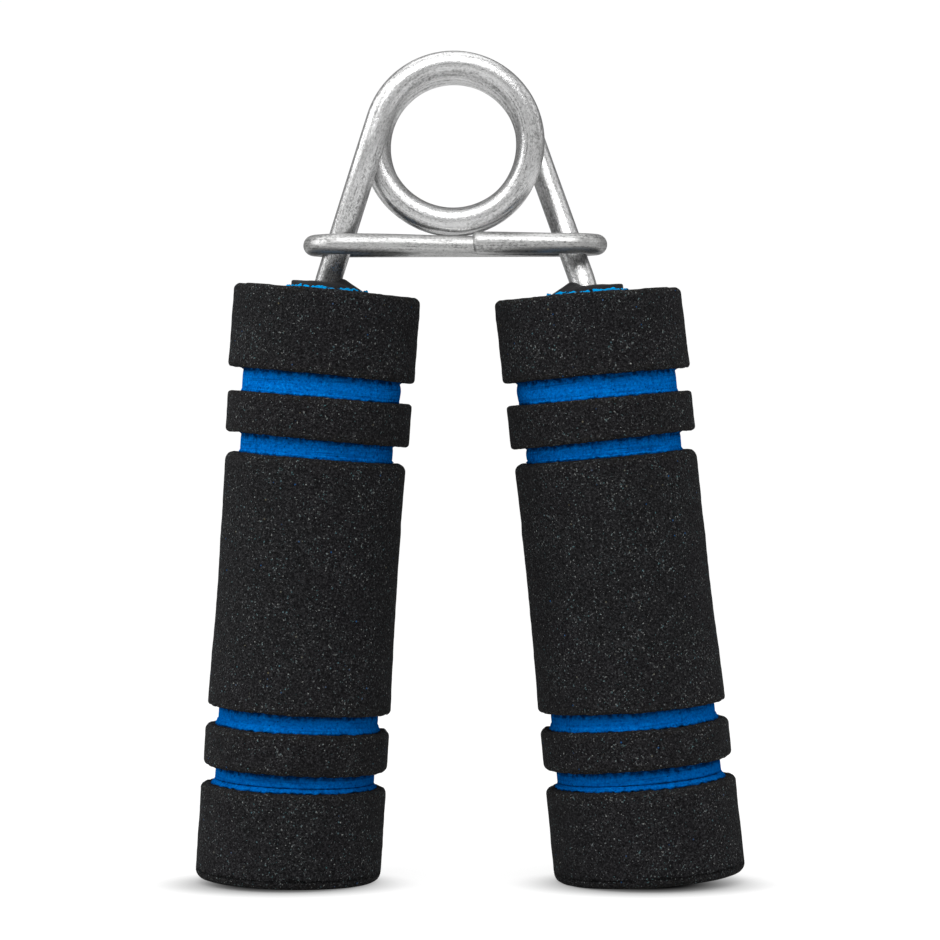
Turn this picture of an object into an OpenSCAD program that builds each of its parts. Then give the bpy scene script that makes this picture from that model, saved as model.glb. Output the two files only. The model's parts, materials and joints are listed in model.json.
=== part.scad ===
// Hand grip strengthener: one bent spring wire, a retaining link, and two foam handles.
// Millimetres. +X goes from the left handle to the right one, +Y to the back, +Z up.
// The origin is the centre of the bounding box's base, where both handles touch the ground.

/* [Spring] */
// Diameter of the spring wire
wire_d = 4.3; // [3.6:0.1:4.6]
// Diameter of the coil, measured between wire centres
coil_d = 25.4; // [23:0.2:28]
// Distance between neighbouring turns of the coil, wire centre to wire centre
coil_pitch = 4.52; // [4.5:0.02:5]
// Height of the coil's centre above the ground
coil_z = 121.6; // [118:0.2:124]
// Whole turns that the coil makes on top of the stretch between the two legs
coil_turns = 3; // [2:1:4]
// Angle of the left leg from the vertical, in degrees
left_leg_angle = 17.6; // [15:0.1:20]
// Angle of the right leg from the vertical, in degrees
right_leg_angle = 19.4; // [16:0.1:22]
// Straight length of each leg before it leans in towards the middle plane
leg_straight = 7; // [6:0.5:9]
// Length of wire held inside each handle
leg_insert = 60; // [40:1:62]

/* [Retaining link] */
// Diameter of the link's wire
link_wire_d = 3.4; // [3:0.1:3.6]
// Clear width between the link's two long runs
link_gap = 8.2; // [7.8:0.1:9]
// Distance from the coil's centre down to the middle of the link
link_below_coil = 16.7; // [16.7:0.1:17.4]
// Turn of the link about the vertical, so that its ends follow the two legs, in degrees
link_yaw = 6.5; // [6:0.1:7]
// Clearance between the link and each leg
link_clearance = 0.45; // [0.1:0.05:0.6]
// Distance from the coil's axis to the joint between the two ends of the link's wire
link_joint_x = 2.9; // [2:0.1:8]

/* [Handle lean] */
// Lean of the left handle from the vertical, in degrees
left_lean = 3.9; // [2:0.1:6]
// Lean of the right handle from the vertical, in degrees
right_lean = 6.2; // [3:0.1:7]

/* [Handle lengths] */
// Height of the black band at the bottom
bottom_band_h = 14.9; // [12:0.1:16]
// Width of the lowest groove
groove_1_h = 3.1; // [3:0.1:5]
// Height of the lower narrow ring
lower_ring_h = 6.55; // [5:0.05:8]
// Width of the second groove
groove_2_h = 3.1; // [3:0.1:5]
// Height of the long band in the middle
long_band_h = 41.5; // [36:0.5:44]
// Width of the third groove
groove_3_h = 3.1; // [3:0.1:5]
// Height of the upper narrow ring
upper_ring_h = 6.8; // [5:0.1:8]
// Width of the highest groove
groove_4_h = 3.8; // [3:0.1:5]
// Height of the black band at the top
top_band_h = 13.7; // [12:0.1:15]

/* [Handle diameters] */
// Diameter of the bottom band at its lower end
bottom_band_d = 30.6; // [29:0.1:32]
// Diameter of the two narrow rings
ring_d = 30.4; // [29:0.1:32]
// Diameter of the long band at its waist
waist_d = 29.6; // [28.5:0.1:30]
// Diameter of the long band at its lower end
long_band_low_d = 30.3; // [29.5:0.1:31]
// Diameter of the long band at its upper end
long_band_high_d = 29.9; // [29.5:0.1:31]
// Diameter of the top band
top_band_d = 30.8; // [29:0.1:32]
// How much wider the right handle's foam is at its foot than the left handle's
right_flare = 1; // [0:0.1:1.5]
// Diameter where the black foam is bonded to the blue foam
bond_d = 25; // [23:0.1:25]
// Diameter of the blue foam in the two lower grooves
low_groove_d = 26.3; // [25.1:0.1:27]
// Diameter of the blue foam in the third groove
groove_3_d = 25.2; // [25.1:0.1:27]
// Diameter of the blue foam in the highest groove
groove_4_d = 25.9; // [25.1:0.1:27]
// Radius of the rounded edge around the handle's foot
foot_edge = 1.2; // [0.6:0.1:2]
// Radius of every other rounded foam edge
foam_edge = 0.6; // [0.3:0.1:1]

/* [Core] */
// Outside diameter of the hard core tube and its two plugs
core_d = 12; // [10:0.5:14]
// Diameter of the open lower part of the core tube
core_hollow_d = 8.8; // [7:0.2:9]
// Height of the top plug's rim above the foam
plug_rim = 1.2; // [0.8:0.1:2]
// Length of the top plug inside the handle
top_plug_l = 8; // [6:0.5:10]
// Depth of the bottom plug's face inside the handle's foot
foot_recess = 0.8; // [0.4:0.1:2]

/* [Hidden] */

$fn = 96;
WIRE_SIDES = 16;      // sides of a swept wire
STEPS_PER_TURN = 36;  // rings in one turn of the coil
BEND_STEPS = 8;       // rings in one bend of a leg
EDGE_STEPS = 4;       // chords in a rounded foam edge
SIDE_STEPS = 8;       // chords along a waisted foam side
COIL_BEND = 4;        // cut from each side of the bend below the coil
NECK_BEND = 3;        // cut from each side of the bend at the handle's mouth
JOINT_SLIT = 0.12;    // slit between the two ends of the link's wire
LEG_OFFSET = 0.2;     // room for each leg to pass a little beside the link's middle line
FIT = 0.05;           // clearance of the wire and of the stem in the core tube
PLUG_FACE_H = 2.2;    // thickness of the bottom plug's face
STEM_H = 9;           // length of the bottom plug's stem, measured from its face
MOUTH_FLARE = 1.1;    // how much the top plug's mouth widens around the wire
END_GAP = 1;          // free space in the core tube below the end of the wire
BORE_LAP = 3;         // how far the narrow bore runs down past the end gap
CUT = 1;              // how far a cutting tool passes through a face

LEFT = -1;
RIGHT = 1;

wire_r = wire_d / 2;
coil_r = coil_d / 2;
link_r = link_wire_d / 2;
bond_r = bond_d / 2;
core_r = core_d / 2;

// Heights along a handle's own axis
z_groove_1 = bottom_band_h;
z_lower_ring = z_groove_1 + groove_1_h;
z_groove_2 = z_lower_ring + lower_ring_h;
z_long_band = z_groove_2 + groove_2_h;
z_groove_3 = z_long_band + long_band_h;
z_upper_ring = z_groove_3 + groove_3_h;
z_groove_4 = z_upper_ring + upper_ring_h;
z_top_band = z_groove_4 + groove_4_h;
handle_l = z_top_band + top_band_h;

function unit(v) = v / norm(v);
function leg_angle(side) = side == LEFT ? left_leg_angle : right_leg_angle;
function lean(side) = side == LEFT ? left_lean : right_lean;

// What the flare adds to a foam radius of one handle at a height along it
function flare(side, z) = side == RIGHT ? right_flare / 2 * (1 - z / handle_l) : 0;
function foot_r(side) = bottom_band_d / 2 + flare(side, 0);

// A handle stands on the rounded inner edge of its foot.
function foot_z(side) = (foot_r(side) - foot_edge) * sin(lean(side)) + foot_edge * (1 - cos(lean(side)));
function mouth_z(side) = foot_z(side) + handle_l * cos(lean(side));

// The straight leg is a tangent of the coil. X is counted from the coil's axis here.
function tangent_x(side) = side * coil_r * cos(leg_angle(side));
function tangent_z(side) = coil_z + coil_r * sin(leg_angle(side));
function leg_x(side, z) = tangent_x(side) + side * (tangent_z(side) - z) * tan(leg_angle(side));
function foot_x(side) = leg_x(side, mouth_z(side)) + side * handle_l * sin(lean(side));
function reach_x(side) = abs(foot_x(side)) + (foot_r(side) - foot_edge) * cos(lean(side))
    + foot_edge * (1 - sin(lean(side)));

// The coil's axis is off centre because the two sides lean differently.
coil_x = (reach_x(LEFT) - reach_x(RIGHT)) / 2;
function handle_up(side) = [-side * sin(lean(side)), 0, cos(lean(side))];
function foot(side) = [coil_x + foot_x(side), 0, foot_z(side)];
function mouth(side) = foot(side) + handle_l * handle_up(side);

// The coil runs from the left leg in front to the right leg behind.
coil_start = 180 - left_leg_angle;
coil_sweep = 180 - left_leg_angle - right_leg_angle + 360 * coil_turns;
coil_half_w = coil_pitch * coil_sweep / 720;
coil_slope = coil_pitch / (PI * coil_d);
function coil_point(a) = [
    coil_x + coil_r * cos(coil_start - a),
    -coil_half_w + coil_pitch * a / 360,
    coil_z + coil_r * sin(coil_start - a)
];
function coil_dir(a) = unit([sin(coil_start - a), coil_slope, -cos(coil_start - a)]);

// Corners of a leg's route, from the coil down into the handle
function leg_down(side) = [side * sin(leg_angle(side)), side * coil_slope, -cos(leg_angle(side))];
function leg_corners(side) = let (
    top = [coil_x + tangent_x(side), side * coil_half_w, tangent_z(side)]
) [
    top,
    top + leg_straight * leg_down(side),
    mouth(side),
    mouth(side) - leg_insert * handle_up(side)
];

// A smooth bend that replaces the corner b of the route a, b, c
function bend(a, b, c, cut) = let (p = b + cut * unit(a - b), q = b + cut * unit(c - b)) [
    for (i = [0 : BEND_STEPS]) let (t = i / BEND_STEPS)
        (1 - t) * (1 - t) * p + 2 * t * (1 - t) * b + t * t * q
];
function leg_route(side) = let (c = leg_corners(side)) concat(
    [c[0]],
    bend(c[0], c[1], c[2], COIL_BEND),
    bend(c[1], c[2], c[3], NECK_BEND),
    [c[3]]
);

// One ring of points around a wire. The route never runs along side_dir, which sets the ring's turn.
function ring(centre, dir, radius, side_dir) =
    let (u = unit(cross(dir, side_dir)), v = cross(dir, u)) [
        for (k = [0 : WIRE_SIDES - 1]) let (a = 360 * k / WIRE_SIDES)
            centre + radius * (cos(a) * u + sin(a) * v)
    ];

// A round wire along a route, with its first and last directions given
module wire(route, first_dir, last_dir, radius = wire_r, side_dir = [0, 1, 0]) {
    last = len(route) - 1;
    dirs = [
        for (i = [0 : last])
            i == 0 ? first_dir : i == last ? last_dir : unit(route[i + 1] - route[i - 1])
    ];
    points = [for (i = [0 : last]) each ring(route[i], dirs[i], radius, side_dir)];
    sides = [
        for (i = [0 : last - 1], k = [0 : WIRE_SIDES - 1])
            let (j = (k + 1) % WIRE_SIDES, low = i * WIRE_SIDES, high = low + WIRE_SIDES)
                [low + k, high + k, high + j, low + j]
    ];
    first_cap = [for (k = [0 : WIRE_SIDES - 1]) k];
    last_cap = [for (k = [WIRE_SIDES - 1 : -1 : 0]) last * WIRE_SIDES + k];
    polyhedron(points, concat(sides, [first_cap, last_cap]), convexity = 12);
}

module spring_coil() {
    steps = round(coil_sweep / 360 * STEPS_PER_TURN);
    angles = [for (i = [0 : steps]) i * coil_sweep / steps];
    color("silver")
        wire([for (a = angles) coil_point(a)], coil_dir(0), coil_dir(coil_sweep));
}

module spring_leg(side) {
    color("silver")
        wire(leg_route(side), unit(leg_down(side)), -handle_up(side));
}

// The link is one wire bent into a long loop, with a half turn around each leg.
// Its two ends meet in the front run.
link_z = coil_z - link_below_coil;
link_end_r = link_gap / 2 + link_r;
link_mid_x = (leg_x(LEFT, link_z) + leg_x(RIGHT, link_z)) / 2;
link_half_l = (leg_x(RIGHT, link_z) - leg_x(LEFT, link_z)) / 2
    + (wire_r + link_clearance) / cos(right_leg_angle) - link_gap / 2 + LEG_OFFSET;

function half_turn(centre_x, from) = [
    for (i = [0 : STEPS_PER_TURN / 2]) let (a = from + 360 * i / STEPS_PER_TURN)
        [centre_x + link_end_r * cos(a), link_end_r * sin(a), 0]
];

module retaining_link() {
    joint_x = link_joint_x - link_mid_x;
    route = concat(
        [[joint_x + JOINT_SLIT / 2, -link_end_r, 0]],
        half_turn(link_half_l, -90),
        half_turn(-link_half_l, 90),
        [[joint_x - JOINT_SLIT / 2, -link_end_r, 0]]
    );
    color("gainsboro")
        translate([coil_x + link_mid_x, 0, link_z])
            rotate([0, 0, link_yaw])
                wire(route, [1, 0, 0], [1, 0, 0], link_r, [0, 0, 1]);
}

// Puts a part that is drawn along +Z from the origin onto one handle's axis.
module on_handle(side) {
    translate(foot(side))
        rotate([0, -side * lean(side), 0])
            children();
}

// Points of a rounded corner, from one angle to the other
function corner(x, z, r, from, to) = [
    for (i = [0 : EDGE_STEPS]) let (a = from + (to - from) * i / EDGE_STEPS)
        [x + r * cos(a), z + r * sin(a)]
];

// A foam ring with rounded outer edges, whose side may be waisted in the middle
module foam_ring(low_z, height, low_r, middle_r, high_r, low_edge, high_edge) {
    high_z = low_z + height;
    from = low_z + low_edge;
    side_h = height - low_edge - high_edge;
    waist = [
        for (i = [1 : SIDE_STEPS - 1]) let (t = i / SIDE_STEPS)
            [
                low_r * (1 - t) * (1 - 2 * t) + 4 * middle_r * t * (1 - t) + high_r * t * (2 * t - 1),
                from + t * side_h
            ]
    ];
    rotate_extrude()
        polygon(concat(
            [[bond_r, low_z]],
            corner(low_r - low_edge, from, low_edge, -90, 0),
            low_r == high_r && low_r == middle_r ? [] : waist,
            corner(high_r - high_edge, high_z - high_edge, high_edge, 0, 90),
            [[bond_r, high_z]]
        ));
}

// One black foam band of a handle, from its diameters at its lower end, waist and upper end
module black_band(side, low_z, height, low_d, middle_d, high_d, low_edge = foam_edge) {
    color("#1c1c1e")
        on_handle(side)
            foam_ring(
                low_z, height,
                low_d / 2 + flare(side, low_z),
                middle_d / 2 + flare(side, low_z + height / 2),
                high_d / 2 + flare(side, low_z + height),
                low_edge, foam_edge
            );
}

module top_band(side) {
    black_band(side, z_top_band, top_band_h, top_band_d, top_band_d, top_band_d);
}

module upper_ring(side) {
    black_band(side, z_upper_ring, upper_ring_h, ring_d, ring_d, ring_d);
}

module long_band(side) {
    black_band(side, z_long_band, long_band_h, long_band_low_d, waist_d, long_band_high_d);
}

module lower_ring(side) {
    black_band(side, z_lower_ring, lower_ring_h, ring_d, ring_d, ring_d);
}

module bottom_band(side) {
    black_band(side, 0, bottom_band_h, bottom_band_d, bottom_band_d, bottom_band_d, foot_edge);
}

// The blue foam is one sleeve from end to end. It fills each groove a little past the bond line.
module blue_sleeve(side) {
    groove_d = [low_groove_d, low_groove_d, groove_3_d, groove_4_d];
    from = [z_groove_1, z_groove_2, z_groove_3, z_groove_4];
    to = [z_lower_ring, z_long_band, z_upper_ring, z_top_band];
    function groove_r(i) = groove_d[i] / 2 + flare(side, from[i]);
    color("#0a6cc4")
        on_handle(side)
            rotate_extrude()
                polygon(concat(
                    [[core_r, 0], [bond_r, 0]],
                    [
                        for (i = [0 : 3]) each [
                            [bond_r, from[i]], [groove_r(i), from[i]],
                            [groove_r(i), to[i]], [bond_r, to[i]]
                        ]
                    ],
                    [[bond_r, handle_l], [core_r, handle_l]]
                ));
}

tube_from = foot_recess + PLUG_FACE_H;
tube_to = handle_l - top_plug_l;
bore_from = handle_l - leg_insert - END_GAP - BORE_LAP;

// A hard tube that holds the wire tightly in its upper part and is open below
module core_tube(side) {
    color("dimgray")
        on_handle(side)
            difference() {
                translate([0, 0, tube_from])
                    cylinder(r = core_r, h = tube_to - tube_from);
                translate([0, 0, tube_from - CUT])
                    cylinder(d = core_hollow_d, h = bore_from - tube_from + 2 * CUT);
                translate([0, 0, bore_from])
                    cylinder(r = wire_r + FIT, h = tube_to - bore_from + CUT);
            }
}

// A moulded plug whose flared mouth lets the wire in at an angle
module top_plug(side) {
    mouth_from = handle_l - NECK_BEND - CUT;
    plug_top = handle_l + plug_rim;
    color("#262628")
        on_handle(side)
            difference() {
                translate([0, 0, tube_to])
                    cylinder(r = core_r, h = plug_top - tube_to);
                translate([0, 0, tube_to - CUT])
                    cylinder(r = wire_r + FIT, h = plug_top - tube_to + 2 * CUT);
                translate([0, 0, mouth_from])
                    cylinder(r1 = wire_r + FIT, r2 = wire_r + MOUTH_FLARE, h = plug_top - mouth_from + FIT);
            }
}

// A plug that closes the core tube at the handle's foot
module bottom_plug(side) {
    color("#262628")
        on_handle(side)
            translate([0, 0, foot_recess]) {
                cylinder(r = core_r, h = PLUG_FACE_H);
                cylinder(d = core_hollow_d - 2 * FIT, h = STEM_H);
            }
}

spring_coil();
spring_leg(LEFT);  // spring_leg_left
spring_leg(RIGHT);  // spring_leg_right
retaining_link();
core_tube(LEFT);  // left_core_tube
top_plug(LEFT);  // left_top_plug
bottom_plug(LEFT);  // left_bottom_plug
blue_sleeve(LEFT);  // left_blue_sleeve
top_band(LEFT);  // left_top_band
upper_ring(LEFT);  // left_upper_ring
long_band(LEFT);  // left_long_band
lower_ring(LEFT);  // left_lower_ring
bottom_band(LEFT);  // left_bottom_band
core_tube(RIGHT);  // right_core_tube
top_plug(RIGHT);  // right_top_plug
bottom_plug(RIGHT);  // right_bottom_plug
blue_sleeve(RIGHT);  // right_blue_sleeve
top_band(RIGHT);  // right_top_band
upper_ring(RIGHT);  // right_upper_ring
long_band(RIGHT);  // right_long_band
lower_ring(RIGHT);  // right_lower_ring
bottom_band(RIGHT);  // right_bottom_band
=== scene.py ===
"""Hand grip strengthener: the looks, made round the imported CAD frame.

Lengths in the tables below are in millimetres and are turned into metres where a mesh is made.
A handle has its own coordinates: radius from its axis, angle round it, height above its foot.
The angle is 0 on the side that faces the other handle and grows towards the back.
"""

import json
import math

import bpy
import numpy as np
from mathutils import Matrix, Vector

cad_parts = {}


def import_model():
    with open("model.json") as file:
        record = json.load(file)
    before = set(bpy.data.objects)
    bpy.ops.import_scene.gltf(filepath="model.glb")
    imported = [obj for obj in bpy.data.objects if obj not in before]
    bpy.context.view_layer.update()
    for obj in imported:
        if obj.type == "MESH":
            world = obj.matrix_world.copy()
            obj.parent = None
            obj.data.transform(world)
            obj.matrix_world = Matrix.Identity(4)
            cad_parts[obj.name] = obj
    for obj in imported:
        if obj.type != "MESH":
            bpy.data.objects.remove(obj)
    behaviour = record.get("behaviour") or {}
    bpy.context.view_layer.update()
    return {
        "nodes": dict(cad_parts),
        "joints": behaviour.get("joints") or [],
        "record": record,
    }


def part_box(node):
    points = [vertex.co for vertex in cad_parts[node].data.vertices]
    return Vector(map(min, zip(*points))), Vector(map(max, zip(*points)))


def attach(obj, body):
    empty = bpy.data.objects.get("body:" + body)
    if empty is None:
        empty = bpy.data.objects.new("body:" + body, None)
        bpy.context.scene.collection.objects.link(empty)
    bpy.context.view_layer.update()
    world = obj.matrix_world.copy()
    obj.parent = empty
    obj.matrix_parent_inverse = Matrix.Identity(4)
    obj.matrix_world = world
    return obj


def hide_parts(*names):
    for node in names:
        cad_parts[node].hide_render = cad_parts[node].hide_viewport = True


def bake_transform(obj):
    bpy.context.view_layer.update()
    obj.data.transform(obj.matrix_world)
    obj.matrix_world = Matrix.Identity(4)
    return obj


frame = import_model()

MM = 0.001
SIDES = {"left": -1, "right": 1}
MOUNTS = {m["name"]: m for m in frame["record"]["mounts"]}
JOINTS = {j["name"]: j for j in frame["joints"]}
COIL_AXIS = np.array(JOINTS["left_squeeze"]["pos_m"]) / MM


# ---------------------------------------------------------------- noise and meshes

def hashed(cell, seed):
    """A fixed pseudo-random value from -1 to 1 for each integer cell."""
    cell = cell.astype(np.uint64)
    h = cell[..., 0] * np.uint64(73856093) ^ cell[..., 1] * np.uint64(19349663)
    h = h ^ cell[..., 2] * np.uint64(83492791) ^ np.uint64(seed * 2654435761 % 2**32)
    h = (h ^ (h >> np.uint64(13))) * np.uint64(1274126177)
    h = (h ^ (h >> np.uint64(16))) & np.uint64(0xFFFFFF)
    return h.astype(float) / 0x7FFFFF - 1


def noise(points, size, seed):
    """Smooth value noise from -1 to 1 whose bumps are about size across."""
    p = points / size + 1000
    low = np.floor(p)
    f = p - low
    f = f * f * (3 - 2 * f)
    total = np.zeros(p.shape[:-1])
    for corner in np.ndindex(2, 2, 2):
        weight = np.prod(np.where(np.array(corner) == 1, f, 1 - f), axis=-1)
        total += weight * hashed(low + corner, seed)
    return total


def bumps(points, kinds, seed):
    """Noise of several kinds on top of each other. Each kind is (height, size)."""
    return sum(height * noise(points, size, seed + k) for k, (height, size) in enumerate(kinds))


def smoothstep(x):
    x = np.clip(x, 0, 1)
    return x * x * (3 - 2 * x)


def make_mesh(name, points, faces, values=None, sharp=()):
    """A smooth-shaded object from points in millimetres, with named values on its points."""
    mesh = bpy.data.meshes.new(name)
    mesh.from_pydata((np.asarray(points) * MM).tolist(), [], faces)
    mesh.polygons.foreach_set("use_smooth", [True] * len(mesh.polygons))
    for key, value in (values or {}).items():
        value = np.asarray(value, np.float32)
        kind, field = ("FLOAT_VECTOR", "vector") if value.ndim == 2 else ("FLOAT", "value")
        mesh.attributes.new(key, kind, "POINT").data.foreach_set(field, value.ravel())
    if len(sharp):
        wanted = {tuple(sorted(e)) for e in sharp}
        marks = [tuple(sorted(e.vertices)) in wanted for e in mesh.edges]
        mesh.attributes.new("sharp_edge", "BOOLEAN", "EDGE").data.foreach_set("value", marks)
    mesh.validate()
    obj = bpy.data.objects.new(name, mesh)
    bpy.context.scene.collection.objects.link(obj)
    return obj


# ---------------------------------------------------------------- handles

BANDS_UP = ["bottom_band", "lower_ring", "long_band", "upper_ring", "top_band"]

# Slope of each band's lower and upper edge, from the foot up, in degrees. It is counted from
# square to the axis, and is positive where the outer side of the handle is the higher one.
EDGE_TILT = {
    "left": [-2.3, -1.7, -1.2, -1.0, -0.4, 0.6, 1.5, 0.8, 1.8, 1.0],
    "right": [-2.3, -1.8, -1.4, -2.0, -1.9, -1.0, 0.2, -1.1, -1.0, -1.9],
}

# How far each of those edges stands above its place on the CAD's handle
EDGE_RISE = {
    "left": [0, 0, -0.15, 0, 0, 0.05, 0.1, 0.1, 0.1, 0.2],
    "right": [-0.2, 0, 0.2, 0.1, 0, -0.15, -0.35, -0.42, -0.33, -0.65],
}


class Handle:
    """One handle's place in the frame, and its own coordinates."""

    def __init__(self, side):
        foot = MOUNTS[side + "_foot"]
        self.side = side
        self.sign = SIDES[side]
        self.body = side + "_handle"
        self.up = -np.array(foot["axis"])
        self.foot = np.array([foot["pos_m"][0], 0, foot["pos_m"][2]]) / MM
        self.inward = np.array([-self.sign * self.up[2], 0, self.sign * self.up[0]])
        self.back = np.array([0.0, 1.0, 0.0])
        self.foot_r = self.outline("bottom_band")[1].max() - 0.5

    def place(self, radius, angle, height):
        across = np.cos(angle)[..., None] * self.inward + np.sin(angle)[..., None] * self.back
        return self.foot + radius[..., None] * across + height[..., None] * self.up

    def outline(self, node):
        """(heights, outer radii) of a turned CAD node, from its foot up."""
        mesh = frame["nodes"][f"{self.side}_{node}"].data
        points = np.array([v.co for v in mesh.vertices]) / MM - self.foot
        height = points @ self.up
        radius = np.linalg.norm(points - height[:, None] * self.up, axis=1)
        levels = np.unique(height.round(2))
        widest = [radius[np.abs(height - z) < 0.02].max() for z in levels]
        return levels, np.array(widest)

    def lean(self):
        return math.atan2(self.up[0], self.up[2])

    def skew(self, radius, angle, height):
        """The rise of a point because the bands are not cut quite square, or quite in place."""
        levels = [self.outline(band)[0][end] for band in BANDS_UP for end in (0, -1)]
        slope = np.tan(np.radians(np.interp(height, levels, EDGE_TILT[self.side])))
        across = radius * np.cos(angle)
        # The foot keeps its inner edge, which the handle stands on.
        foot = 1 - smoothstep(height / 3)
        rise = np.interp(height, levels, EDGE_RISE[self.side])
        return rise - slope * (across - foot * self.foot_r)


def turn(handle, name, profile, shift, segments, values=None):
    """A closed profile of (radius, height) points turned round a handle's axis.

    shift gets the radius, angle and height of every point, and returns what to add to the radius
    and to the height.
    """
    count = len(profile)
    angle = np.linspace(0, 2 * math.pi, segments, endpoint=False)
    radius = np.repeat(profile[:, 0][:, None], segments, axis=1)
    height = np.repeat(profile[:, 1][:, None], segments, axis=1)
    angle = np.repeat(angle[None, :], count, axis=0)
    out, rise = shift(radius, angle, height)
    rise = rise + handle.skew(radius, angle, height)
    points = handle.place(radius + out, angle, height + rise).reshape(-1, 3)
    points[:, 2] = np.maximum(points[:, 2], 0)
    i, j = np.meshgrid(np.arange(count), np.arange(segments), indexing="ij")
    i_next, j_next = (i + 1) % count, (j + 1) % segments
    corners = [i * segments + j, i * segments + j_next, i_next * segments + j_next, i_next * segments + j]
    if handle.sign > 0:
        corners.reverse()
    faces = np.stack(corners, axis=-1).reshape(-1, 4).tolist()
    values = {k: np.repeat(v[:, None], segments, axis=1).ravel() for k, v in (values or {}).items()}
    return make_mesh(name, points, faces, values)


def arc(centre, radius, start, end, steps):
    a = np.radians(np.linspace(start, end, steps + 1))
    return np.stack([centre[0] + radius * np.cos(a), centre[1] + radius * np.sin(a)], axis=1)


def line(a, b, spacing):
    """Points from a towards b, without b, at about the given spacing."""
    steps = max(1, round(math.dist(a, b) / spacing))
    t = np.linspace(0, 1, steps, endpoint=False)[:, None]
    return np.array(a) * (1 - t) + np.array(b) * t


# ---------------------------------------------------------------- black foam bands

FOAM_STEP = 0.38        # spacing of the points on the foam
FOAM_SEGMENTS = 256
BOND_RADIUS = 12.5      # where the black foam is bonded to the blue foam
FOOT_CREASE = 1.4       # height of a faint crease round the foot

# Radius of the rounded lower and upper edges of each band
BAND_EDGES = {
    "top_band": (0.6, 0.9),
    "upper_ring": (0.55, 0.45),
    "long_band": (0.6, 1.4),
    "lower_ring": (0.9, 0.9),
    "bottom_band": (1.35, 0.8),
}

# (height, size) of the bumps on the foam's skin, and of the torn cells along its cut ends
SKIN_BUMPS = [(0.07, 9), (0.05, 2.6), (0.035, 0.9)]
END_BUMPS = [(0.08, 3.5), (0.13, 0.9)]


def black_band(handle, node, seed):
    """A turned foam band: rounded cut edges, a slightly uneven side, and torn cells at the ends."""
    levels, radii = handle.outline(node)
    low, high = levels[0], levels[-1]
    side = radii > radii.max() - 0.6
    low_edge, high_edge = BAND_EDGES[node]

    def creased(z):
        return np.exp(-((z - FOOT_CREASE) / 0.07) ** 2) * (node == "bottom_band")

    def side_radius(z):
        return np.interp(z, levels[side], radii[side])

    low_r, high_r = side_radius(low + low_edge), side_radius(high - high_edge)
    rise = line((0, low + low_edge), (0, high - high_edge), FOAM_STEP)[1:, 1]
    if node == "bottom_band":
        rise = np.sort(np.append(rise, FOOT_CREASE + np.array([-0.12, -0.05, 0.0, 0.05, 0.12])))
    profile = np.concatenate([
        line((BOND_RADIUS, low), (low_r - low_edge, low), FOAM_STEP),
        arc((low_r - low_edge, low + low_edge), low_edge, -90, 0, 6),
        np.stack([side_radius(rise), rise], axis=1),
        arc((high_r - high_edge, high - high_edge), high_edge, 0, 90, 6),
        line((high_r - high_edge, high), (BOND_RADIUS, high), FOAM_STEP)[1:],
        [[BOND_RADIUS, high]],
    ])

    def shift(radius, angle, height):
        at = np.stack([radius * np.cos(angle), radius * np.sin(angle), height], axis=-1)
        skin = smoothstep((radius - BOND_RADIUS) / 1.0)
        near_end = 1 - smoothstep(np.minimum(height - low, high - height) / 1.2)
        out = bumps(at, SKIN_BUMPS, seed) - 0.05 * creased(height)
        rag = bumps(at, END_BUMPS, seed + 3)
        return out * skin, rag * near_end * skin * smoothstep(height / 3)

    edge = 1 - smoothstep(np.minimum(profile[:, 1] - low, high - profile[:, 1]) / 1.6)
    # edge carries the dust along the cut ends; crease carries the painted shade in the foot's crease.
    values = {"edge": edge, "crease": creased(profile[:, 1])}
    obj = turn(handle, f"{handle.side}_{node}_foam", profile, shift, FOAM_SEGMENTS, values)
    finish_foam(obj, handle, black_foam(handle), f"{handle.side}_{node}")


def finish_foam(obj, handle, material, node):
    obj.data.materials.append(material)
    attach(obj, handle.body)
    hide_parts(node)


# ---------------------------------------------------------------- blue foam sleeve

# For each groove from the foot up: how far its lower lip spreads over the band below, how deep
# the crease above that lip is, and how far the floor bulges in the middle
GROOVES = [
    {"lip": 0.50, "crease": 0.45, "crease_at": 0.85, "bulge": 0.00},
    {"lip": 0.45, "crease": 0.06, "crease_at": 1.10, "bulge": 0.00},
    {"lip": 0.12, "crease": 0.05, "crease_at": 0.60, "bulge": 0.30},
    {"lip": 0.12, "crease": 0.04, "crease_at": 0.60, "bulge": 0.30},
]
FLOOR_BUMPS = [(0.05, 4), (0.04, 1.1)]      # (height, size) on the floor of a groove
TORN_BUMPS = [(0.22, 1.3), (0.20, 0.6)]     # outwards, along the edges of the bands
RAGGED_BUMPS = [(0.16, 1.1), (0.16, 0.55)]  # upwards, along the edges of the bands
COLLAR_BUMPS = [(0.20, 0.6), (0.18, 1.7)]   # upwards, on the collar
UNDER_BAND = 1.25       # height of the painted shade under each black band
CORE_RADIUS = 6.0
COLLAR_RADIUS = 6.6     # the blue foam that the top plug has squeezed up around itself


def groove_profile(floor, low, high, shape):
    """The blue foam's outline in one groove, from the band below to the band above."""
    lip, crease, middle = shape["lip"], low + shape["crease_at"], (low + high) / 2
    return np.array([
        (floor + lip - 0.10, low + 0.02),
        (floor + lip, low + 0.14),
        (floor + lip * 0.8, low + 0.30),
        (floor + lip * 0.35, crease - 0.22),
        (floor + lip * 0.15, crease - 0.09),
        (floor - shape["crease"], crease),
        (floor, crease + 0.09),
        (floor, crease + 0.30),
        (floor, middle + 0.1),
        (floor, middle + 0.5),
        (floor, high - 1.00),
        (floor, high - 0.80),
        (floor - 0.02, high - 0.60),
        (floor - 0.03, high - 0.45),
        (floor - 0.02, high - 0.28),
        (floor + 0.10, high - 0.12),
        (floor + 0.18, high - 0.02),
    ])


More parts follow.
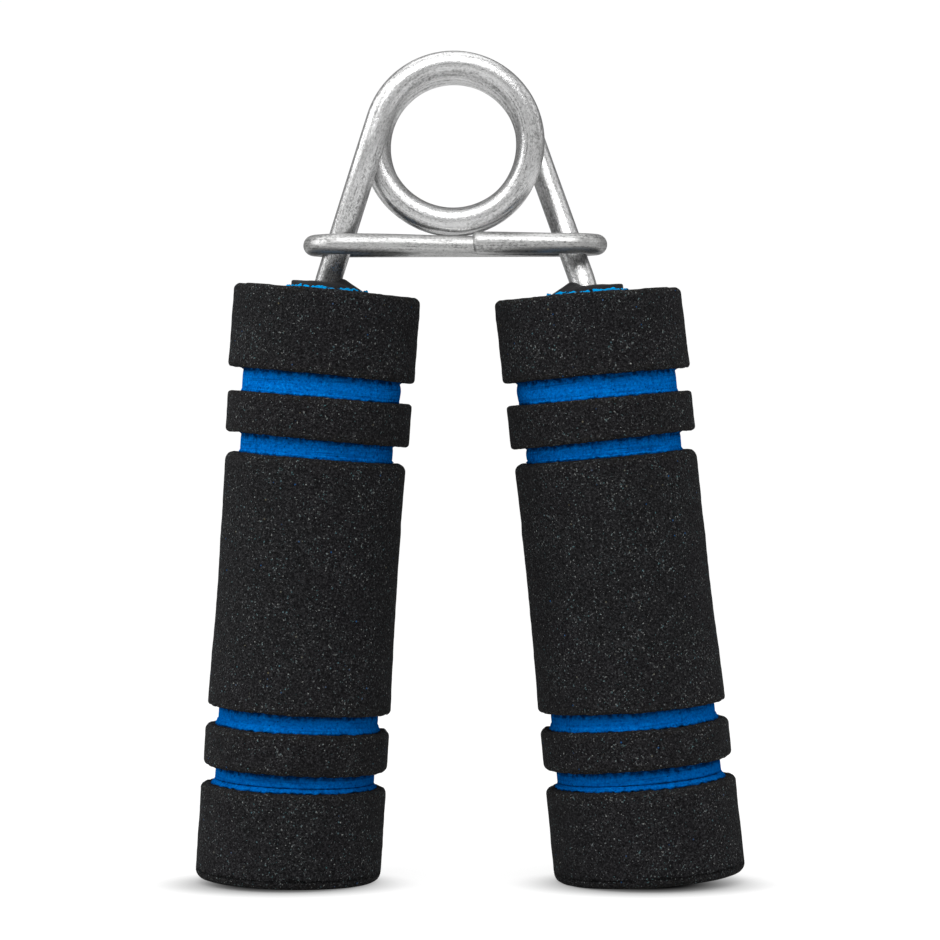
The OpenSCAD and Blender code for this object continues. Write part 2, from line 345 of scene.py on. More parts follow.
def blue_sleeve(handle, seed):
    """The blue foam from the foot to the top: four grooves, and a collar round the top plug."""
    levels, radii = handle.outline("blue_sleeve")
    top = levels[-1]
    spans = [handle.outline(band)[0][[0, -1]] for band in BANDS_UP]
    parts = [line((CORE_RADIUS, 0), (BOND_RADIUS, 0), FOAM_STEP), [[BOND_RADIUS, 0]]]
    edges, creases = [], []
    for shape, below, above in zip(GROOVES, spans[:-1], spans[1:]):
        low, high = below[1], above[0]
        floor = radii[(levels > low - 0.05) & (levels < high + 0.05)].max()
        parts.append(np.array([[BOND_RADIUS, low - 0.4]]))
        parts.append(groove_profile(floor, low, high, shape))
        parts.append(np.array([[BOND_RADIUS, high + 0.4]]))
        edges += [low, high]
        creases.append((low + shape["crease_at"], min(1.0, 2 * shape["crease"])))
    parts.append(np.array([[BOND_RADIUS, top]]))
    parts.append(line((BOND_RADIUS, top), (COLLAR_RADIUS + 0.4, top), FOAM_STEP)[1:])
    parts.append(arc((COLLAR_RADIUS, top + 0.26), 0.26, -20, 200, 8))
    parts.append([[CORE_RADIUS + 0.02, top - 0.3]])
    profile = np.concatenate(parts)
    # The cut ends are black, but for the collar's outer side and a ring round the bottom plug.
    above, below = profile[:, 1] > top - 0.05, profile[:, 1] < 0.05
    collar = np.abs(profile[:, 0] - COLLAR_RADIUS - 0.2) < 0.15
    ring = profile[:, 0] < COLLAR_RADIUS + 0.3
    cut = above * np.where(collar, 0.6, 1.0) + below * np.where(ring, 0.6, 1.0)
    # Painted shade lies under each band, in each crease, and along the lower lip of each groove.
    edges, height = np.array(edges), profile[:, 1]
    under = edges[1::2] - height[:, None]
    under = ((1 - smoothstep(under / UNDER_BAND)) * (under > -0.5)).max(axis=1)
    in_crease = np.max([depth * np.exp(-((height - z) / 0.07) ** 2) for z, depth in creases], axis=0)
    on_lip = (1 - smoothstep(np.abs(height[:, None] - edges[::2] - 0.1) / 0.35)).max(axis=1)
    shade = np.max([under, 1.2 * in_crease, 0.55 * on_lip], axis=0)

    def shift(radius, angle, height):
        at = np.stack([radius * np.cos(angle), radius * np.sin(angle), height], axis=-1)
        skin = smoothstep((radius - BOND_RADIUS - 0.05) / 0.3)
        to_band = np.abs(height[..., None] - edges).min(axis=-1)
        near_band = 1 - smoothstep(to_band / 0.45)
        # The floors of the upper grooves swell towards the inner side.
        swell = np.zeros_like(radius)
        for shape, low, high in zip(GROOVES, edges[::2], edges[1::2]):
            t = np.clip((height - low) / (high - low), 0, 1)
            swell += shape["bulge"] * 4 * t * (1 - t) * (0.5 + 0.5 * np.cos(angle))
        around = np.stack([20 * np.cos(angle), 20 * np.sin(angle), np.round(height)], axis=-1)
        ragged_edge = bumps(around, TORN_BUMPS, seed)
        out = bumps(at, FLOOR_BUMPS, seed + 2)
        rim = smoothstep((height - top + 0.05) / 0.1) * smoothstep((COLLAR_RADIUS + 0.9 - radius) / 0.5)
        raised = rim * bumps(at, COLLAR_BUMPS, seed + 4)
        ragged = bumps(around + 50, RAGGED_BUMPS, seed + 6)
        return skin * (out + swell + near_band * ragged_edge), raised + skin * near_band * ragged

    obj = turn(handle, f"{handle.side}_blue_foam", profile, shift, 384, {"cut": cut, "shade": shade})
    finish_foam(obj, handle, blue_foam(handle), handle.side + "_blue_sleeve")


# ---------------------------------------------------------------- plugs and core

def top_plug(handle):
    """The black plug that the wire enters. The wire has pushed it up on its inner side."""
    levels, radii = handle.outline("top_plug")
    top = handle.outline("blue_sleeve")[0][-1]
    outer, bottom = radii.max(), levels[0]
    mouth = WIRE_R + 0.45
    crown = top + 1.35
    profile = np.concatenate([
        line((mouth - 0.3, bottom), (outer, bottom), 1.0),
        line((outer, bottom), (outer, crown - 0.25), 0.8),
        arc((outer - 0.25, crown - 0.25), 0.25, 0, 90, 5),
        line((outer - 0.25, crown), (mouth + 0.5, crown + 0.1), 0.4)[1:],
        arc((mouth + 0.45, crown - 0.35), 0.45, 90, 180, 5),
        line((mouth, crown - 0.6), (mouth - 0.3, top - 4), 0.8)[1:],
    ])

    def shift(radius, angle, height):
        at = np.stack([radius * np.cos(angle), radius * np.sin(angle), height], axis=-1)
        shown = smoothstep((height - top) / 0.3)
        inner_side = smoothstep((np.cos(angle) - 0.1) / 0.8)
        slope = np.clip((outer - radius) / (outer - mouth), 0, 1)
        rise = inner_side * (1.9 * slope - 1.0) + 0.08 * noise(at, 1.2, 71)
        return 0.06 * noise(at, 1.5, 72) * shown, rise * shown

    obj = turn(handle, handle.side + "_top_plug_rubber", profile, shift, 96)
    obj.data.materials.append(plug_rubber())
    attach(obj, handle.body)
    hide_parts(handle.side + "_top_plug")


def bottom_plug(handle):
    """The plug in the foot: a shallow dish with a raised rim and a moulding mark in the middle."""
    levels, radii = handle.outline("bottom_plug")
    face, outer = levels[0], radii.max()
    seat = levels[radii > outer - 0.1].max()
    stem = radii[levels > seat + 0.1].max()
    profile = np.concatenate([
        line((0.001, face + 0.55), (1.2, face + 0.55), 0.4),
        arc((1.45, face + 0.55), 0.25, 180, 90, 3),
        line((1.6, face + 0.75), (4.4, face + 0.7), 0.6),
        arc((4.9, face + 0.3), 0.3, 180, 270, 4),
        arc((outer - 0.35, face + 0.35), 0.35, -90, 0, 4),
        line((outer, face + 0.6), (outer, seat), 0.6),
        line((outer, seat), (stem, seat), 0.6),
        line((stem, seat), (stem, levels[-1]), 1.5),
        line((stem, levels[-1]), (0.001, levels[-1]), 1.5),
    ])
    obj = turn(handle, handle.side + "_bottom_plug_rubber", profile, lambda r, a, h: (0 * r, 0 * r), 96)
    obj.data.materials.append(plug_rubber())
    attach(obj, handle.body)
    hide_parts(handle.side + "_bottom_plug")


# ---------------------------------------------------------------- spring and link

EYE_R = MOUNTS["coil_eye"]["dims"]["r_mm"]
COIL_LOW, COIL_HIGH = (np.array(v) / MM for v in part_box("spring_coil"))
COIL_OUTER_R = (COIL_HIGH[2] - COIL_LOW[2]) / 2
WIRE_R = (COIL_OUTER_R - EYE_R) / 2
COIL_R = COIL_OUTER_R - WIRE_R
COIL_HALF_W = (COIL_HIGH[1] - COIL_LOW[1]) / 2 - WIRE_R
LEG_ANGLE = {"left": 17.6, "right": 19.4}   # from the vertical, in degrees
COIL_TURNS = 3                              # on top of the stretch between the legs
LEG_STRAIGHT = 7.0
LEG_INSERT = 60.0
COIL_BEND = 4.0
NECK_BEND = 3.0
RINGS_PER_TURN = 96
WIRE_SIDES = 32

COIL_START = 180 - LEG_ANGLE["left"]
COIL_SWEEP = 180 - LEG_ANGLE["left"] - LEG_ANGLE["right"] + 360 * COIL_TURNS
COIL_PITCH = 720 * COIL_HALF_W / COIL_SWEEP
COIL_SLOPE = COIL_PITCH / (2 * math.pi * COIL_R)
MIDDLE_SHIFT = -0.4     # the middle turns stand a little to the left of the two outer ones
NECK_SHIFT = {"left": -0.4, "right": -0.2}  # the wire enters each plug a little off its middle


def unit(v):
    return v / np.linalg.norm(v, axis=-1, keepdims=True)


def coil_points(a):
    t = np.radians(COIL_START - a)
    return np.stack([
        COIL_AXIS[0] + COIL_R * np.cos(t) + MIDDLE_SHIFT * np.sin(math.pi * a / COIL_SWEEP) ** 2,
        -COIL_HALF_W + COIL_PITCH * a / 360,
        COIL_AXIS[2] + COIL_R * np.sin(t),
    ], axis=-1)


def coil_direction(a):
    t = np.radians(COIL_START - a)
    return unit(np.stack([np.sin(t), COIL_SLOPE + 0 * t, -np.cos(t)], axis=-1))


def bend(a, b, c, cut, steps=14):
    """A smooth bend that replaces the corner b of the route a, b, c."""
    p, q = b + cut * unit(a - b), b + cut * unit(c - b)
    t = np.linspace(0, 1, steps)[:, None]
    return (1 - t) ** 2 * p + 2 * t * (1 - t) * b + t * t * q


def leg_route(handle):
    side, tilt = handle.sign, math.radians(LEG_ANGLE[handle.side])
    down = np.array([side * math.sin(tilt), side * COIL_SLOPE, -math.cos(tilt)])
    top = np.array([
        COIL_AXIS[0] + side * COIL_R * math.cos(tilt),
        side * COIL_HALF_W,
        COIL_AXIS[2] + COIL_R * math.sin(tilt),
    ])
    knee = top + LEG_STRAIGHT * down
    neck = handle.foot + handle.outline("blue_sleeve")[0][-1] * handle.up
    end = neck - LEG_INSERT * handle.up
    neck = neck + np.array([NECK_SHIFT[handle.side], 0, 0])
    corners = [bend(top, knee, neck, COIL_BEND), bend(knee, neck, end, NECK_BEND)]
    route = np.concatenate([
        line(top, corners[0][0], 1.5), corners[0],
        line(corners[0][-1], corners[1][0], 1.5)[1:], corners[1],
        line(corners[1][-1], end, 6.0)[1:], [end],
    ])
    return route, unit(down), -handle.up


def wire(name, route, first_dir, last_dir, radii, reference, start_length=0.0, rounded=(0, 0)):
    """A closed round wire along a route. Its ends are flat, or rounded by the given lengths."""
    dirs = unit(np.gradient(route, axis=0))
    dirs[0], dirs[-1] = first_dir, last_dir
    radii = np.broadcast_to(radii, len(route)).copy()
    for end, length in enumerate(rounded):
        if length:
            route, dirs, radii = round_end(route, dirs, radii, end, length)
    u = unit(np.cross(dirs, reference))
    v = np.cross(dirs, u)
    a = np.linspace(0, 2 * math.pi, WIRE_SIDES, endpoint=False)
    ring = np.cos(a)[None, :, None] * u[:, None] + np.sin(a)[None, :, None] * v[:, None]
    points = (route[:, None] + radii[:, None, None] * ring).reshape(-1, 3)
    length = start_length + np.concatenate([[0], np.cumsum(np.linalg.norm(np.diff(route, axis=0), axis=1))])
    along = np.stack([
        np.repeat(length, WIRE_SIDES),
        np.tile(WIRE_R * np.cos(a), len(route)),
        np.tile(WIRE_R * np.sin(a), len(route)),
    ], axis=1)
    n, last = WIRE_SIDES, len(route) - 1
    faces = [
        [i * n + k, (i + 1) * n + k, (i + 1) * n + (k + 1) % n, i * n + (k + 1) % n]
        for i in range(last) for k in range(n)
    ]
    faces += [list(range(n)), [last * n + k for k in range(n - 1, -1, -1)]]
    sharp = [(b + k, b + (k + 1) % n) for b in (0, last * n) for k in range(n)]
    return make_mesh(name, points, faces, {"along": along}, sharp)


def round_end(route, dirs, radii, end, length):
    """Adds rings that close one end of a wire with a rounded edge."""
    at = -1 if end else 0
    outward = dirs[at] if end else -dirs[at]
    t = np.radians(np.linspace(15, 90, 6))
    extra = route[at] + length * np.sin(t)[:, None] * outward
    thin = radii[at] - length * (1 - np.cos(t))
    ways = np.repeat(dirs[at][None], len(t), axis=0)
    if end:
        return (np.concatenate([route, extra]), np.concatenate([dirs, ways]), np.concatenate([radii, thin]))
    return (
        np.concatenate([extra[::-1], route]), np.concatenate([ways, dirs]),
        np.concatenate([thin[::-1], radii]),
    )


def spring(handles):
    """The legs ride on the handles. The coil is made as two halves, front and back."""
    along_y = np.array([0.0, 1.0, 0.0])
    steel = spring_steel()
    half = COIL_SWEEP / 2
    half_length = half / 360 * 2 * math.pi * COIL_R
    for part, start, end in (("front", 0, half), ("back", half, COIL_SWEEP)):
        angles = np.linspace(start, end, round((end - start) / 360 * RINGS_PER_TURN) + 1)
        route = coil_points(angles)
        obj = wire(
            f"coil_{part}_wire", route, coil_direction(angles[0]), coil_direction(angles[-1]),
            WIRE_R, along_y, 0.0 if part == "front" else half_length,
        )
        obj.data.materials.append(steel)
        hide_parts("spring_coil")
        if part == "front":
            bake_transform(obj)
        else:
            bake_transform(obj)
    for handle in handles:
        route, first, last = leg_route(handle)
        if handle.sign < 0:
            route_along = -np.linalg.norm(np.diff(route, axis=0), axis=1).sum()
        else:
            route_along = 2 * half_length
        obj = wire(
            f"{handle.side}_leg_wire", route, first, last, WIRE_R, along_y, route_along, rounded=(0, 0.4)
        )
        obj.data.materials.append(steel)
        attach(obj, handle.body)
        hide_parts("spring_leg_" + handle.side)


LINK_R = 1.7
LINK_GAP = 8.2         # clear width between its two long runs
LINK_YAW = math.radians(6.5)
LINK_JOINT = 2.9       # from the coil's axis to the joint between the wire's two ends
LINK_RISE = 0.40       # how much higher its right end stands than its left end
LINK_SHORT = 0.25      # how much its right end falls short of the CAD's
# How far each end of the wire strays from the link's middle line, how much thicker it is, and
# over what length that fades
RIGHT_END = {"back": -0.32, "up": 0.14, "thicker": 0.10, "over": 16}
LEFT_END = {"back": 0.30, "up": -0.30, "thicker": -0.12, "over": 20}


def retaining_link():
    """One wire bent into a loop. Its thicker right end stands in front of its left end."""
    low, high = (np.array(v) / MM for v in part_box("retaining_link"))
    middle = (low + high) / 2
    long_half = (high[0] - low[0]) / 2
    end_r = LINK_GAP / 2 + LINK_R
    # The turned loop's reach is its straight half times the cosine, plus its round end.
    straight = (long_half - end_r - LINK_R) / math.cos(LINK_YAW)
    joint = COIL_AXIS[0] + LINK_JOINT - middle[0]
    a = np.radians(np.linspace(-90, 90, 33))[:, None]
    turn_right = np.hstack([straight - LINK_SHORT + end_r * np.cos(a), end_r * np.sin(a), 0 * a])
    b = np.radians(np.linspace(90, 270, 33))[:, None]
    turn_left = np.hstack([-straight + end_r * np.cos(b), end_r * np.sin(b), 0 * b])
    front = -end_r
    route = np.concatenate([
        line((joint + 0.25, front, 0), turn_right[0], 0.8), turn_right,
        line(turn_right[-1], turn_left[0], 0.8)[1:], turn_left,
        line(turn_left[-1], (joint + 0.1, front, 0), 0.8)[1:], [(joint + 0.1, front, 0)],
    ])
    length = np.concatenate([[0], np.cumsum(np.linalg.norm(np.diff(route, axis=0), axis=1))])
    route[:, 2] += LINK_RISE * (0.5 + 0.5 * route[:, 0] / long_half)
    radii = np.full(len(route), LINK_R)
    for end, distance in ((RIGHT_END, length), (LEFT_END, length[-1] - length)):
        near = 1 - smoothstep(distance / end["over"])
        route[:, 1] += end["back"] * near
        route[:, 2] += end["up"] * near
        radii += end["thicker"] * near
    spin = np.array([
        [math.cos(LINK_YAW), -math.sin(LINK_YAW), 0],
        [math.sin(LINK_YAW), math.cos(LINK_YAW), 0],
        [0, 0, 1],
    ])
    route = route @ spin.T + middle
    obj = wire(
        "retaining_link_wire", route, unit(route[1] - route[0]), unit(route[-1] - route[-2]),
        radii, np.array([0.0, 0.0, 1.0]), rounded=(0.85, 0.3),
    )
    obj.data.materials.append(link_steel())
    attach(obj, "link")
    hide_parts("retaining_link")


# ---------------------------------------------------------------- materials

class Shader:
    """A material's node tree, with one short call for each kind of node."""

    def __init__(self, name):
        self.material = bpy.data.materials.new(name)
        self.material.use_nodes = True
        self.tree = self.material.node_tree
        self.surface = self.tree.nodes["Principled BSDF"]

    def node(self, kind, inputs=None, **settings):
        n = self.tree.nodes.new("ShaderNode" + kind)
        for key, value in settings.items():
            setattr(n, key, value)
        for key, value in (inputs or {}).items():
            if isinstance(value, bpy.types.NodeSocket):
                self.tree.links.new(value, n.inputs[key])
            else:
                n.inputs[key].default_value = value
        return n

    def object_space(self):
        """Millimetres from the frame's origin."""
        coordinates = self.node("TexCoord").outputs["Object"]
        return self.node("Mapping", {"Vector": coordinates, "Scale": (1 / MM,) * 3}).outputs["Vector"]

    def handle_space(self, handle, stretch=(1, 1, 1)):
        """Millimetres from the handle's foot, along its own axes."""
        coordinates = self.node("TexCoord").outputs["Object"]
        local = self.node("Mapping", {
            "Vector": coordinates, "Location": tuple(handle.foot * MM),
            "Rotation": (0, handle.lean(), 0), "Scale": (MM, MM, MM),
        }, vector_type="TEXTURE").outputs["Vector"]
        return self.node("Mapping", {"Vector": local, "Scale": stretch}).outputs["Vector"]

    def noise(self, vector, scale, detail=2.0, rough=0.5):
        return self.node("TexNoise", {
            "Vector": vector, "Scale": scale, "Detail": detail, "Roughness": rough,
        }).outputs["Fac"]

    def ramp(self, value, stops):
        n = self.node("ValToRGB", {"Fac": value})
        ramp = n.color_ramp
        while len(ramp.elements) < len(stops):
            ramp.elements.new(0.5)
        for element, (position, colour) in zip(ramp.elements, stops):
            element.position = position
            element.color = (*colour, 1) if len(colour) == 3 else colour
        return n.outputs["Color"]

    def level(self, value, low, high, to_low=0.0, to_high=1.0, kind="LINEAR"):
        return self.node("MapRange", {
            "Value": value, "From Min": low, "From Max": high, "To Min": to_low, "To Max": to_high,
        }, interpolation_type=kind).outputs["Result"]

    def math(self, operation, a, b=0.0):
        n = self.node("Math", operation=operation)
        for socket, value in zip(n.inputs, (a, b)):
            if isinstance(value, bpy.types.NodeSocket):
                self.tree.links.new(value, socket)
            else:
                socket.default_value = value
        return n.outputs["Value"]

    def mix(self, factor, a, b, blend="MIX"):
        n = self.node("Mix", data_type="RGBA", blend_type=blend)
        for socket, value in ((n.inputs[0], factor), (n.inputs[6], a), (n.inputs[7], b)):
            if isinstance(value, bpy.types.NodeSocket):
                self.tree.links.new(value, socket)
            else:
                socket.default_value = value if isinstance(value, float) else (*value, 1)
        return n.outputs[2]

    def bump(self, height, distance, strength, normal=None):
        inputs = {"Height": height, "Distance": distance, "Strength": strength}
        if normal:
            inputs["Normal"] = normal
        return self.node("Bump", inputs).outputs["Normal"]

    def set(self, **values):
        for key, value in values.items():
            socket = self.surface.inputs[key.replace("_", " ")]
            if isinstance(value, bpy.types.NodeSocket):
                self.tree.links.new(value, socket)
            else:
                socket.default_value = value
        return self.material


made_materials = {}


def once(build):
    """Makes a material only once, or once for each handle."""
    def wrapped(handle=None):
        key = (build.__name__, handle.side if handle else "")
        if key not in made_materials:
            made_materials[key] = build(handle) if handle else build()
        return made_materials[key]
    return wrapped


# Chance tones of the specks in the black foam: mostly grey, some teal, and a few larger ones. The small
# ones are partly flecks and partly painted glints.
SPECK_AND_GLINT_TONES = [
    (0.0, (0.080, 0.085, 0.090)), (0.5, (0.130, 0.138, 0.140)),
    (0.7, (0.060, 0.150, 0.160)), (0.85, (0.260, 0.270, 0.260)),
]
BIG_SPECKS = [
    (0.0, (0.050, 0.110, 0.130)), (0.5, (0.130, 0.150, 0.150)),
    (0.75, (0.110, 0.095, 0.055)), (0.92, (0.010, 0.070, 0.200)),
]


@once
def black_foam(handle):
    """Dense black foam: fine grain, sparse grey and teal specks that are partly painted glints, dusty
    edges, and painted shade in a faint crease.
    """
    s = Shader(handle.side + "_black_foam")
    at = s.handle_space(handle)
    grain = s.noise(at, 2.8, 3.0, 0.75)
    blotch = s.noise(at, 0.22, 2.0)
    sparse = s.noise(at, 3.1, 1.0, 0.6)
    cells = s.node("TexVoronoi", {"Vector": at, "Scale": 2.9, "Randomness": 1.0})
    tint = s.node("SeparateColor", {"Color": cells.outputs["Color"]}).outputs[0]
    base = s.ramp(grain, [
        (0.38, (0.0028, 0.0028, 0.0031)),
        (0.48, (0.0090, 0.0088, 0.0098)),
        (0.56, (0.0160, 0.0158, 0.0170)),
        (0.66, (0.0360, 0.0360, 0.0380)),
    ])
    # The small specks are partly flecks in the foam and partly painted glints.
    specks_and_glints = s.level(sparse, s.level(blotch, 0.35, 0.65, 0.68, 0.595), 0.76)
    colour = s.mix(specks_and_glints, base, s.ramp(tint, SPECK_AND_GLINT_TONES))
    big = s.node("TexVoronoi", {"Vector": at, "Scale": 1.7, "Randomness": 1.0})
    lot = s.node("SeparateColor", {"Color": big.outputs["Color"]}).outputs
    chosen = s.level(lot[0], 0.95, 0.96)
    spot = s.math("MULTIPLY", s.level(big.outputs["Distance"], 0.16, 0.30, 1.0, 0.0), chosen)
    colour = s.mix(spot, colour, s.ramp(lot[1], BIG_SPECKS))
    edge = s.node("Attribute", attribute_name="edge").outputs["Fac"]
    dusty = s.math("MULTIPLY", edge, s.level(s.noise(at, 1.7, 3.0, 0.7), 0.48, 0.70, 0.0, 0.45))
    colour = s.mix(dusty, colour, (0.026, 0.022, 0.014))
    # Painted shade: a dark line along the crease round the foot, broken up by noise.
    crease = s.node("Attribute", attribute_name="crease").outputs["Fac"]
    painted_crease_shade = s.level(s.noise(at, 0.12, 2.0), 0.46, 0.54, 0.0, 0.7)
    colour = s.mix(s.math("MULTIPLY", crease, painted_crease_shade), colour, (0.001, 0.001, 0.001))
    height = s.math("ADD", s.math("MULTIPLY", cells.outputs["Distance"], 0.8), grain)
    return s.set(
        Base_Color=colour, Roughness=0.95, Specular_IOR_Level=0.10,
        Normal=s.bump(height, 0.0003, 0.85),
    )


@once
def blue_foam(handle):
    """Turned blue foam: grain and tool lines, pits, painted shade under the bands, in the creases and over
    the lower grooves, glue on its cut ends.
    """
    s = Shader(handle.side + "_blue_foam")
    at = s.handle_space(handle)
    turned = s.handle_space(handle, (0.10, 0.10, 1.0))
    grain = s.noise(at, 2.4, 3.0, 0.7)
    streaks = s.noise(turned, 3.2, 3.0, 0.65)
    blotch = s.noise(at, 0.30, 2.0)
    mixed = s.math("ADD", s.math("MULTIPLY", grain, 0.78), s.math("MULTIPLY", streaks, 0.22))
    base = s.ramp(mixed, [
        (0.34, (0.000, 0.050, 0.250)),
        (0.45, (0.000, 0.145, 0.590)),
        (0.56, (0.000, 0.205, 0.760)),
        (0.68, (0.000, 0.320, 0.950)),
    ])
    base = s.mix(s.level(blotch, 0.35, 0.7, 0.0, 0.25), base, (0.0, 0.130, 0.500))
    tool = s.noise(s.handle_space(handle, (0.03, 0.03, 1.0)), 2.6, 2.0, 0.6)
    base = s.mix(s.level(tool, 0.56, 0.64, 0.0, 0.55), base, (0.0, 0.060, 0.260))
    # Painted shade: the lower grooves are darker towards the bottom, standing in for light from above that
    # reaches them less.
    up = s.node("SeparateXYZ", {"Vector": at}).outputs["Z"]
    base = s.mix(s.level(up, 22.0, 70.0, 0.42, 0.0), base, (0.0, 0.040, 0.170))
    pits = s.node("TexVoronoi", {"Vector": at, "Scale": 1.5, "Randomness": 1.0})
    lot = s.node("SeparateColor", {"Color": pits.outputs["Color"]}).outputs
    chosen = s.level(lot[0], 0.88, 0.90)
    pit = s.math("MULTIPLY", s.level(pits.outputs["Distance"], 0.10, 0.20, 1.0, 0.0), chosen)
    colour = s.mix(pit, base, (0.0, 0.012, 0.05))
    # Painted shade lies under each band and along each groove's lower lip, with a ragged edge, and a
    # painted dark line lies in the deepest crease.
    shade = s.node("Attribute", attribute_name="shade").outputs["Fac"]
    ragged_edge = s.level(s.noise(at, 1.1, 3.0, 0.6), 0.36, 0.64, -0.35, 0.35)
    shade = s.level(s.math("ADD", shade, ragged_edge), 0.15, 1.0, 0.0, 0.92)
    colour = s.mix(shade, colour, (0.0, 0.010, 0.040))
    # The cut ends are smeared with black glue.
    cut = s.node("Attribute", attribute_name="cut").outputs["Fac"]
    scraps = s.level(s.noise(at, 1.3, 3.0, 0.6), 0.42, 0.47, 1.0, 0.0)
    smear = s.math("MAXIMUM", s.level(cut, 0.6, 1.0), s.math("MULTIPLY", s.level(cut, 0.0, 0.6), scraps))
    bright = s.level(cut, 0.0, 0.5)
    colour = s.mix(bright, colour, (0.0, 0.32, 0.74))
    glue = s.ramp(grain, [
        (0.36, (0.003, 0.003, 0.0035)), (0.50, (0.012, 0.012, 0.013)), (0.64, (0.03, 0.03, 0.032)),
    ])
    colour = s.mix(smear, colour, glue)
    height = s.math("ADD", mixed, s.math("MULTIPLY", pit, -0.8))
    return s.set(
        Base_Color=colour, Roughness=1.0, Specular_IOR_Level=0.0,
        Normal=s.bump(height, 0.0003, 0.8),
    )


@once
def plug_rubber():
    """Black rubber with a fine matt grain, for the plugs."""
    s = Shader("plug_rubber")
    at = s.object_space()
    grain = s.noise(at, 2.5, 3.0, 0.6)
    colour = s.ramp(grain, [(0.35, (0.006, 0.006, 0.007)), (0.65, (0.022, 0.022, 0.024))])
    return s.set(
        Base_Color=colour, Roughness=s.level(grain, 0.3, 0.7, 0.5, 0.75), Specular_IOR_Level=0.3,
        Normal=s.bump(grain, 0.0001, 0.4),
    )


def steel(name, tone, scale, metal, smoothest, dullest):
    """Drawn wire: lines along its length, mottled dull patches, small scratches and nicks."""
    s = Shader(name)
    along = s.node("Attribute", attribute_name="along").outputs["Vector"]

    def stretched(*scales):
        return s.node("Mapping", {"Vector": along, "Scale": scales}).outputs["Vector"]

    lines = s.noise(stretched(0.05, 1.6, 1.6), scale, 3.0, 0.7)
    patches = s.noise(stretched(0.10, 0.45, 0.45), 1.0, 3.0, 0.6)
    mottle = s.noise(stretched(0.8, 1.2, 1.2), 2.4, 3.0, 0.8)
    nicks = s.noise(along, 2.6, 3.0, 0.75)
    worn = s.math("ADD", s.math("MULTIPLY", lines, 0.55), s.math("MULTIPLY", nicks, 0.45))
    light = tuple(min(1.0, c * 1.15) for c in tone)
    dark = tuple(c * 0.28 for c in tone)
    colour = s.ramp(worn, [(0.38, dark), (0.47, tone), (0.7, light)])
    dull = s.level(patches, 0.42, 0.62)
    spots = s.level(mottle, 0.40, 0.54, 1.0, 0.0)
    colour = s.mix(s.math("MULTIPLY", s.level(dull, 0.0, 1.0, 0.12, 0.75), spots), colour, dark)
    rough = s.level(dull, 0.0, 1.0, smoothest, dullest)
    rough = s.math("ADD", rough, s.level(worn, 0.35, 0.65, 0.06, -0.02))
    height = s.math("ADD", s.math("MULTIPLY", lines, 0.5), nicks)
    return s.set(Base_Color=colour, Metallic=metal, Roughness=rough, Normal=s.bump(height, 0.00008, 0.6))


def spring_steel():
    return steel("spring_steel", (0.75, 0.75, 0.75), 2.4, metal=0.92, smoothest=0.24, dullest=0.32)


def link_steel():
    return steel("link_steel", (0.57, 0.57, 0.565), 2.8, metal=0.80, smoothest=0.30, dullest=0.37)


def core_plastic():
    """Grey plastic with a faint grain, for the tube inside each handle."""
    s = Shader("core_plastic")
    at = s.object_space()
    grain = s.noise(at, 1.2, 3.0, 0.6)
    return s.set(
        Base_Color=s.ramp(grain, [(0.3, (0.03, 0.03, 0.032)), (0.7, (0.06, 0.06, 0.062))]),
        Roughness=0.5, Normal=s.bump(grain, 0.00005, 0.3),
    )


# ---------------------------------------------------------------- stage, light and camera

CAMERA_Z = 77.9
CAMERA_DISTANCE = 550.0
FOCAL_LENGTH = 127.4
PITCH_DOWN = math.radians(1.034)
FLOOR_HALF = 0.5
SHADOW_SHIFT = np.array([-0.9, -4.6, 0])    # from a foot's middle to its shadow's middle
SHADOW_FROM, SHADOW_TO = 6.0, 24.0      # from there, where the floor brightens again
SHADOW_FLATNESS = 1.3                   # the width of a shadow over its depth


def camera():
    """A long lens at handle height in front of the object, tilted slightly down."""
    data = bpy.data.cameras.new("camera")
    data.lens = FOCAL_LENGTH
    data.sensor_width = 36.0
    data.clip_start, data.clip_end = 0.01, 50.0
    obj = bpy.data.objects.new("camera", data)
    obj.location = (0, -CAMERA_DISTANCE * MM, CAMERA_Z * MM)
    obj.rotation_euler = (math.pi / 2 - PITCH_DOWN, 0, 0)
    bpy.context.scene.collection.objects.link(obj)
    bpy.context.scene.camera = obj


def floor(handles):
    """A white floor without a horizon: it glows, except in a soft painted shadow before each foot.

    It glows less for the rays that light the object than for the camera.
    """
    s = Shader("floor")
    at = s.node("TexCoord").outputs["Object"]
    glow = None
    for handle in handles:
        middle = (handle.foot * (1, 1, 0) + SHADOW_SHIFT) * MM
        away = s.node("Mapping", {
            "Vector": at, "Location": tuple(middle), "Scale": (1, 1 / SHADOW_FLATNESS, 1),
        }, vector_type="TEXTURE").outputs["Vector"]
        away = s.node("VectorMath", {0: away}, operation="LENGTH").outputs["Value"]
        near = s.level(away, SHADOW_FROM * MM, SHADOW_TO * MM, 0.0, 0.84, "SMOOTHSTEP")
        glow = s.math("MINIMUM", glow, near) if glow else near
    seen = s.level(s.node("LightPath").outputs["Is Camera Ray"], 0.0, 1.0, 0.60, 1.0)
    glow = s.math("MULTIPLY", glow, seen)
    s.set(
        Base_Color=(0.22, 0.22, 0.22, 1), Roughness=0.9, Specular_IOR_Level=0.0,
        Emission_Color=(1, 1, 1, 1), Emission_Strength=glow,
    )
    mesh = bpy.data.meshes.new("floor")
    corners = [(-1, -1), (1, -1), (1, 1), (-1, 1)]
    mesh.from_pydata([(x * FLOOR_HALF, y * FLOOR_HALF, 0) for x, y in corners], [], [(0, 1, 2, 3)])
    mesh.materials.append(s.material)
    obj = bpy.data.objects.new("floor", mesh)
    bpy.context.scene.collection.objects.link(obj)


